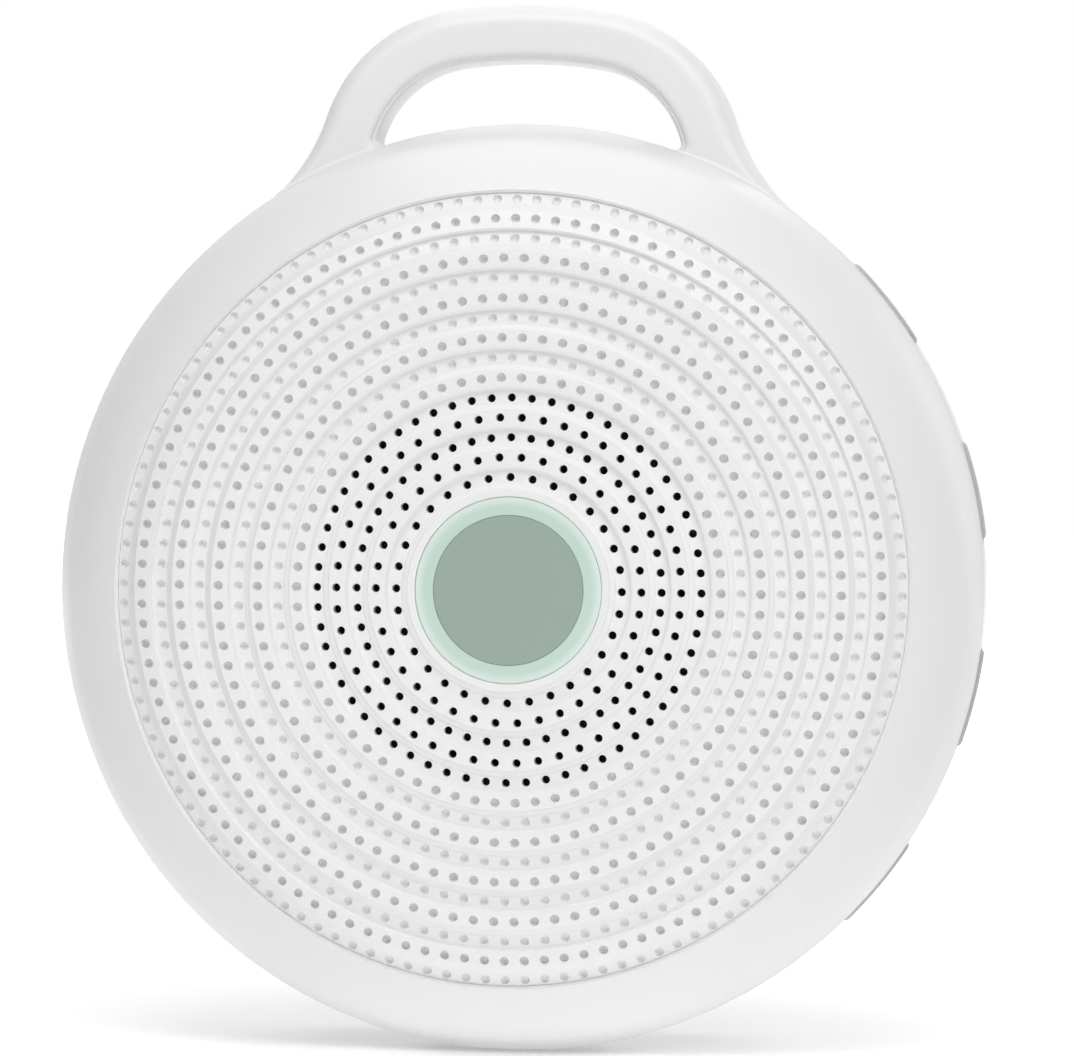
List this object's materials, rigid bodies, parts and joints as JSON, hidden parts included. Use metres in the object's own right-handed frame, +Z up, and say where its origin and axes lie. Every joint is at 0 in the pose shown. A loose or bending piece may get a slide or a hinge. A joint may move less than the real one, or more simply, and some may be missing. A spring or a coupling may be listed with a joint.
{
  "type": "white noise sound machine",
  "caption": "Round travel sound machine that stands on its rim: rippled white grille with open and blind holes, mint night-light lens, carry handle and side buttons.",
  "frame": {"origin": "middle of the flat on the rim that the unit stands on", "axes": "+Z up through the carry handle, front faces -Y, +X is the side with the buttons"},
  "size_m": [0.0902, 0.0382, 0.1016],
  "materials": {
    "white_shell": "fine matte moulded ABS, white",
    "white_grille": "fine matte moulded ABS, white",
    "mint_lens": "satin gloss translucent mint plastic",
    "sage_inlay": "satin sage film",
    "grey_silicone": "matte grey silicone",
    "black_cloth": "black acoustic cloth",
    "black_foam": "black foam",
    "speaker_steel": "black painted pressed steel",
    "magnet": "sintered ferrite and plated steel",
    "cone_paper": "black pressed cone",
    "coil_copper": "enamelled copper wire on a former",
    "surround_rubber": "soft black rubber",
    "circuit_board": "green solder mask",
    "tab_board": "brown phenolic board",
    "chip_black": "black moulded chip",
    "led_yellow": "warm white LED",
    "switch_black": "black switch body",
    "plunger_white": "off-white acetal",
    "screw_steel": "zinc-plated steel",
    "usb_steel": "nickel-plated steel",
    "capacitor_can": "aluminium can",
    "connector_white": "natural nylon",
    "cell_wrap": "aluminium laminate pouch",
    "lead_red": "insulated lead"
  },
  "bodies": {
    "housing": {"audio_chip": "chip_black", "battery_cell": "cell_wrap", "battery_leads": "lead_red", "battery_pad": "black_foam", "battery_socket": "connector_white", "board_screws": "screw_steel", "capacitor": "capacitor_can", "case_screws": "screw_steel", "centre_lens": "mint_lens", "charger_chip": "chip_black", "front_bezel": "white_shell", "grille_cloth": "black_cloth", "grille_disc": "white_grille", "lamp_board": "circuit_board", "lamp_leads": "lead_red", "lens_inlay": "sage_inlay", "light_switch": "switch_black", "main_board": "circuit_board", "night_light_leds": "led_yellow", "rear_housing": "white_shell", "sound_switch": "switch_black", "speaker_frame": "speaker_steel", "speaker_gasket": "black_foam", "speaker_leads": "lead_red", "speaker_magnet": "magnet", "speaker_screws": "screw_steel", "speaker_surround": "surround_rubber", "speaker_terminal": "tab_board", "usb_socket": "usb_steel", "volume_down_switch": "switch_black", "volume_up_switch": "switch_black"},
    "speaker_cone": {"speaker_cone": "cone_paper", "dust_cap": "cone_paper", "voice_coil": "coil_copper"},
    "sound_key": {"sound_button": "grey_silicone", "sound_plunger": "plunger_white"},
    "volume_up_key": {"volume_up_button": "grey_silicone", "volume_up_plunger": "plunger_white"},
    "volume_down_key": {"volume_down_button": "grey_silicone", "volume_down_plunger": "plunger_white"},
    "light_key": {"light_button": "grey_silicone", "light_plunger": "plunger_white"}
  },
  "joints": [
    {"name": "cone_stroke", "type": "slide", "parent": "housing", "child": "speaker_cone", "axis": [0, -1, 0], "range_m": [-0.0005, 0.0005], "stiffness_N_per_m": 1200},
    {"name": "sound_press", "type": "slide", "parent": "housing", "child": "sound_key", "axis": [-0.7771, 0, -0.6293], "range_m": [0, 0.0004], "stiffness_N_per_m": 4000},
    {"name": "volume_up_press", "type": "slide", "parent": "housing", "child": "volume_up_key", "axis": [-0.9744, 0, -0.225], "range_m": [0, 0.0004], "stiffness_N_per_m": 4000},
    {"name": "volume_down_press", "type": "slide", "parent": "housing", "child": "volume_down_key", "axis": [-0.9744, 0, 0.225], "range_m": [0, 0.0004], "stiffness_N_per_m": 4000},
    {"name": "light_press", "type": "slide", "parent": "housing", "child": "light_key", "axis": [-0.7771, 0, 0.6293], "range_m": [0, 0.0004], "stiffness_N_per_m": 4000}
  ]
}
